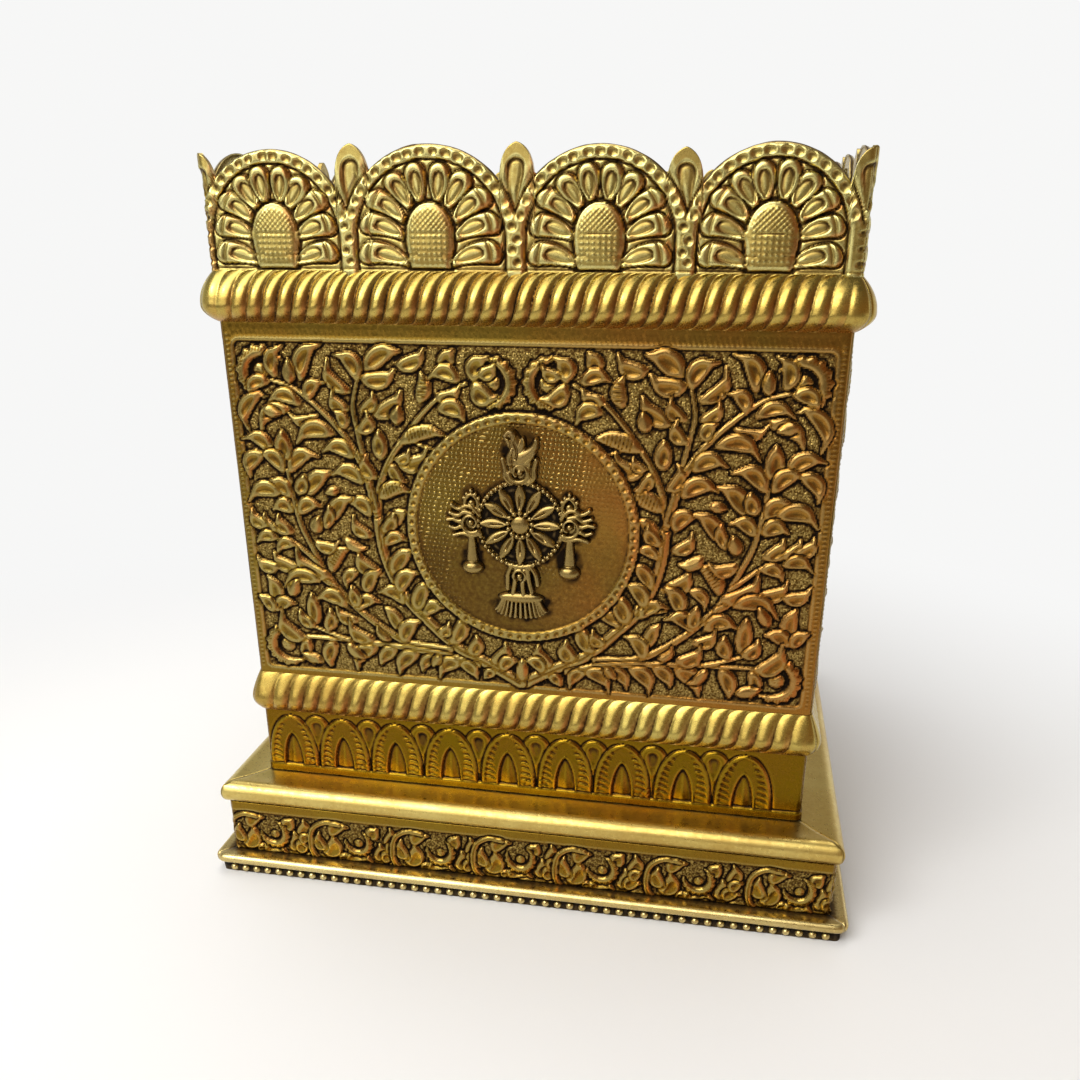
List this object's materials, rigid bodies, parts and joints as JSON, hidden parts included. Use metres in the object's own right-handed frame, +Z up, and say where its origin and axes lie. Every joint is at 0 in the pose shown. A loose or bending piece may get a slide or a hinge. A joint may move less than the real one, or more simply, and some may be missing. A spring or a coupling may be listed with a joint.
{
  "type": "tulsi vrindavan planter",
  "caption": "Square wooden planter box on a plinth, clad in embossed brass, with rope mouldings, a palmette crest and a drop-in liner.",
  "frame": {"origin": "centre of the plinth's underside, on the floor", "axes": "+Z up; the side with the emblem faces -Y; +X is to the right seen from the front"},
  "size_m": [0.356, 0.356, 0.384],
  "materials": {
    "embossed_brass": "polished relief with dark patina in the grooves",
    "polished_brass": "polished",
    "antique_brass": "cast, antiqued",
    "wood": "planed, unfinished",
    "liner_sheet": "galvanised sheet",
    "screw_steel": "zinc plated"
  },
  "bodies": {
    "root": {"plinth_rail_front": "wood", "plinth_rail_right": "wood", "plinth_rail_back": "wood", "plinth_rail_left": "wood", "plinth_corner_blocks": "wood", "deck_board": "wood", "deck_screws": "screw_steel", "wall_board_front": "wood", "wall_board_right": "wood", "wall_board_back": "wood", "wall_board_left": "wood", "floor_board": "wood", "box_screws": "screw_steel", "foot_rim_front": "polished_brass", "foot_rim_right": "polished_brass", "foot_rim_back": "polished_brass", "foot_rim_left": "polished_brass", "frieze_front": "embossed_brass", "frieze_right": "embossed_brass", "frieze_back": "embossed_brass", "frieze_left": "embossed_brass", "ledge_front": "polished_brass", "ledge_right": "polished_brass", "ledge_back": "polished_brass", "ledge_left": "polished_brass", "neck_band_front": "embossed_brass", "neck_band_right": "embossed_brass", "neck_band_back": "embossed_brass", "neck_band_left": "embossed_brass", "lower_rope_front": "polished_brass", "lower_rope_right": "polished_brass", "lower_rope_back": "polished_brass", "lower_rope_left": "polished_brass", "panel_front": "embossed_brass", "panel_right": "embossed_brass", "panel_back": "embossed_brass", "panel_left": "embossed_brass", "upper_rope_front": "polished_brass", "upper_rope_right": "polished_brass", "upper_rope_back": "polished_brass", "upper_rope_left": "polished_brass", "crest_front": "embossed_brass", "crest_right": "embossed_brass", "crest_back": "embossed_brass", "crest_left": "embossed_brass", "emblem": "antique_brass", "liner": "liner_sheet"}
  },
  "joints": []
}
